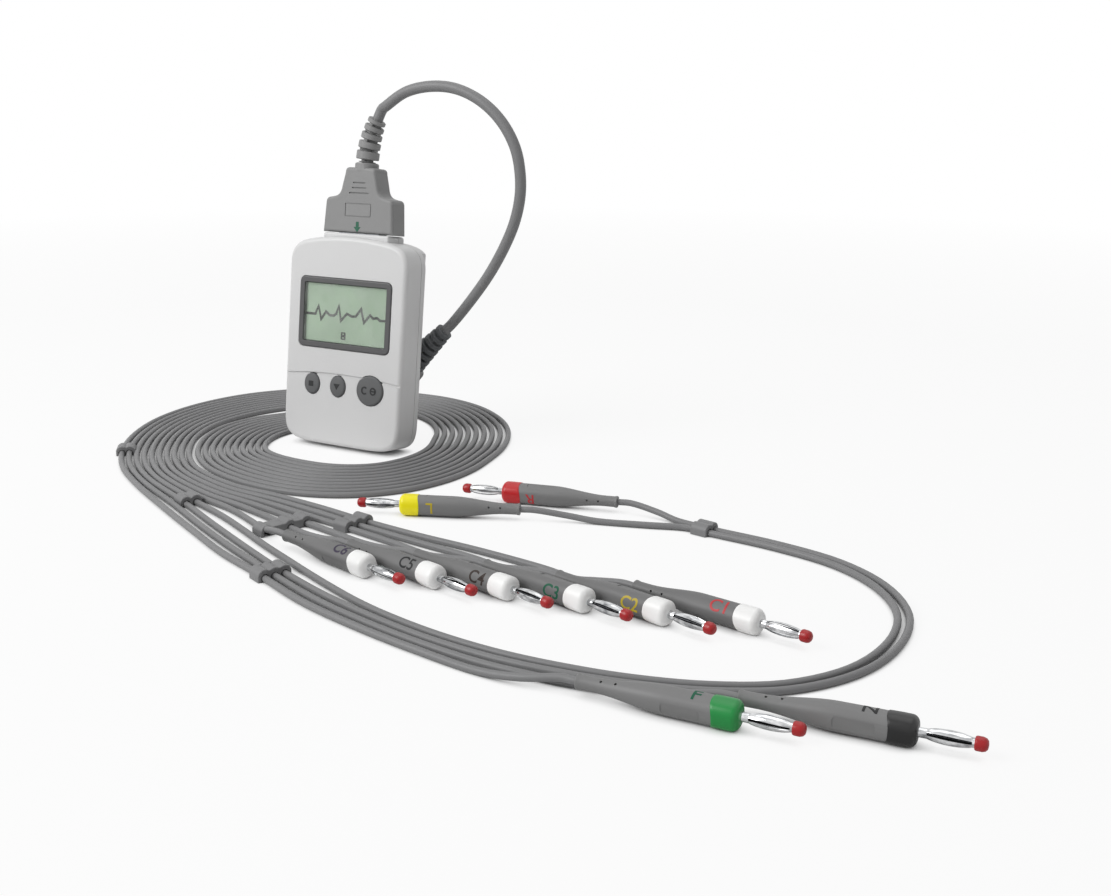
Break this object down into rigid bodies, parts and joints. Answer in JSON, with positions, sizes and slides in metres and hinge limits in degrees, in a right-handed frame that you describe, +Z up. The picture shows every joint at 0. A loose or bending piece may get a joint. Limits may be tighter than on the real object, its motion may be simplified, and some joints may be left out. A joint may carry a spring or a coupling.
{
  "type": "ecg acquisition module",
  "caption": "Hand-held electrocardiograph acquisition module with display window, keypad, battery door and a plugged-in patient cable that ends in banana-plug leads.",
  "frame": {"origin": "on the floor under the middle of the hand unit's bounding box; the unit leans back 8.3 degrees on its bottom rear edge", "axes": "+Z up, -Y the side of the display and keys, +X to the right of the display"},
  "size_m": [0.4891, 0.3067, 0.1842],
  "materials": {
    "shell": "fine satin texture, cool white",
    "bezel": "satin charcoal",
    "lens": "clear acrylic",
    "display": "grey-green reflective display",
    "key": "matte silicone, mid grey",
    "board": "green solder mask",
    "steel": "plated",
    "socket": "satin black",
    "cell": "wrapped cell, plain",
    "moulding": "satin mid grey",
    "cable": "smooth matte jacket, mid grey",
    "boot": "matte dark grey",
    "handle": "fine texture, grey",
    "pin": "bright nickel"
  },
  "bodies": {
    "unit": {"front_shell": "shell", "rear_shell": "shell", "window_bezel": "bezel", "window_lens": "lens", "lcd_panel": "display", "keypad_mat": "key", "main_board": "board", "shield_can": "steel", "lead_socket": "socket", "cell_lower": "cell", "cell_upper": "cell", "contact_bridge": "steel", "contact_plus": "steel", "contact_minus": "steel", "case_screw_1": "steel", "case_screw_2": "steel", "case_screw_3": "steel", "case_screw_4": "steel", "connector_shell": "steel", "connector_hood": "moulding", "connector_boot": "cable", "trunk_cable": "cable", "junction_boot": "boot", "junction_box": "moulding", "lead_F": "cable", "lead_N": "cable", "lead_R": "cable", "lead_L": "cable", "lead_C6": "cable", "lead_C5": "cable", "lead_C4": "cable", "lead_C3": "cable", "lead_C2": "cable", "lead_C1": "cable", "plug_F": "handle", "plug_N": "handle", "plug_R": "handle", "plug_L": "handle", "plug_C6": "handle", "plug_C5": "handle", "plug_C4": "handle", "plug_C3": "handle", "plug_C2": "handle", "plug_C1": "handle", "pin_F": "pin", "pin_N": "pin", "pin_R": "pin", "pin_L": "pin", "pin_C6": "pin", "pin_C5": "pin", "pin_C4": "pin", "pin_C3": "pin", "pin_C2": "pin", "pin_C1": "pin", "joiner_limb": "boot", "joiner_arm": "boot"},
    "menu_key": {"menu_button": "key"},
    "down_key": {"down_button": "key"},
    "enter_key": {"enter_button": "key"},
    "door": {"battery_door": "shell"}
  },
  "joints": [
    {"name": "menu_press", "type": "slide", "parent": "unit", "child": "menu_key", "axis": [0, 0.9895, -0.1444], "range_m": [0, 0.0008], "stiffness_N_per_m": 800},
    {"name": "down_press", "type": "slide", "parent": "unit", "child": "down_key", "axis": [0, 0.9895, -0.1444], "range_m": [0, 0.0008], "stiffness_N_per_m": 800},
    {"name": "enter_press", "type": "slide", "parent": "unit", "child": "enter_key", "axis": [0, 0.9895, -0.1444], "range_m": [0, 0.0008], "stiffness_N_per_m": 800},
    {"name": "battery_door_slide", "type": "slide", "parent": "unit", "child": "door", "axis": [0, -0.1444, -0.9895], "range_m": [0, 0.005]}
  ]
}
